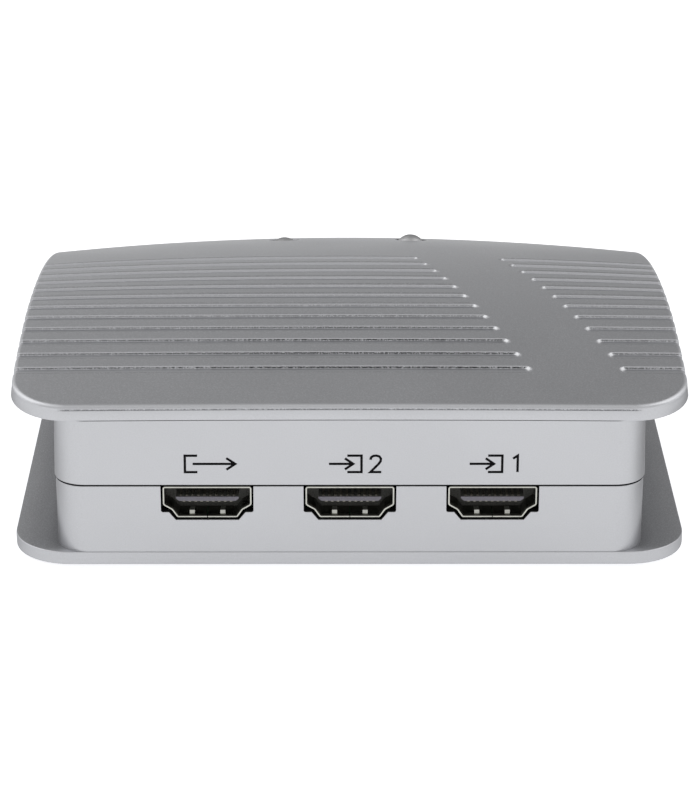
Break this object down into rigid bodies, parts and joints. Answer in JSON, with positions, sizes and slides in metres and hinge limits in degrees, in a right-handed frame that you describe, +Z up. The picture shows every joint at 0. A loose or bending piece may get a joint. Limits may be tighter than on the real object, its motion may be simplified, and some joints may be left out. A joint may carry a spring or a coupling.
{
  "type": "hdmi switch box",
  "caption": "Low video switch box: arched, grooved top plate and flat base plate round a narrower body, plug sockets in the straight face, interlocked push buttons near the bowed edge.",
  "frame": {"origin": "middle of the case's plan, on the surface that the feet stand on", "axes": "+Z up, -Y out of the socket face, +X to the right when the socket face is looked at"},
  "size_m": [0.1154, 0.113, 0.0339],
  "materials": {
    "case_silver": "fine metallic silver paint, satin",
    "shell_steel": "bright plated sheet",
    "dark_plastic": "moulded, matte",
    "contact_gold": "gold plated",
    "board_green": "solder mask, semi-gloss",
    "white_plastic": "moulded, smooth",
    "steel": "plain zinc plated",
    "foot_rubber": "matte"
  },
  "bodies": {
    "case": {"top_cover": "case_silver", "bottom_cover": "case_silver", "main_board": "board_green", "socket_out_shell": "shell_steel", "socket_out_insulator": "dark_plastic", "socket_out_contacts": "contact_gold", "socket_in_2_shell": "shell_steel", "socket_in_2_insulator": "dark_plastic", "socket_in_2_contacts": "contact_gold", "socket_in_1_shell": "shell_steel", "socket_in_1_insulator": "dark_plastic", "socket_in_1_contacts": "contact_gold", "contact_pads": "contact_gold", "switch_frame": "dark_plastic", "switch_lid": "steel", "detent_spring": "steel", "frame_screws": "steel", "board_screws": "steel", "case_screws": "steel", "foot_near_left": "foot_rubber", "foot_near_right": "foot_rubber", "foot_front_left": "foot_rubber", "foot_front_right": "foot_rubber"},
    "button_a": {"button_a_cap": "case_silver", "button_a_plunger": "white_plastic", "button_a_pin": "steel"},
    "button_b": {"button_b_cap": "case_silver", "button_b_plunger": "white_plastic", "button_b_pin": "steel"},
    "interlock": {"cam_slide": "white_plastic", "wiper_springs": "contact_gold"}
  },
  "joints": [
    {"name": "button_a_press", "type": "slide", "parent": "case", "child": "button_a", "axis": [0, 0, 1], "range_m": [-0.0006, 0]},
    {"name": "button_b_press", "type": "slide", "parent": "case", "child": "button_b", "axis": [0, 0, 1], "range_m": [0, 0.0006]},
    {"name": "interlock_slide", "type": "slide", "parent": "case", "child": "interlock", "axis": [1, 0, 0], "range_m": [0, 0.0012], "deforming": ["detent_spring"]}
  ],
  "couplings": [
    {"joint": "button_b_press", "follows": "button_a_press", "ratio": -1},
    {"joint": "interlock_slide", "follows": "button_a_press", "ratio": -2}
  ]
}
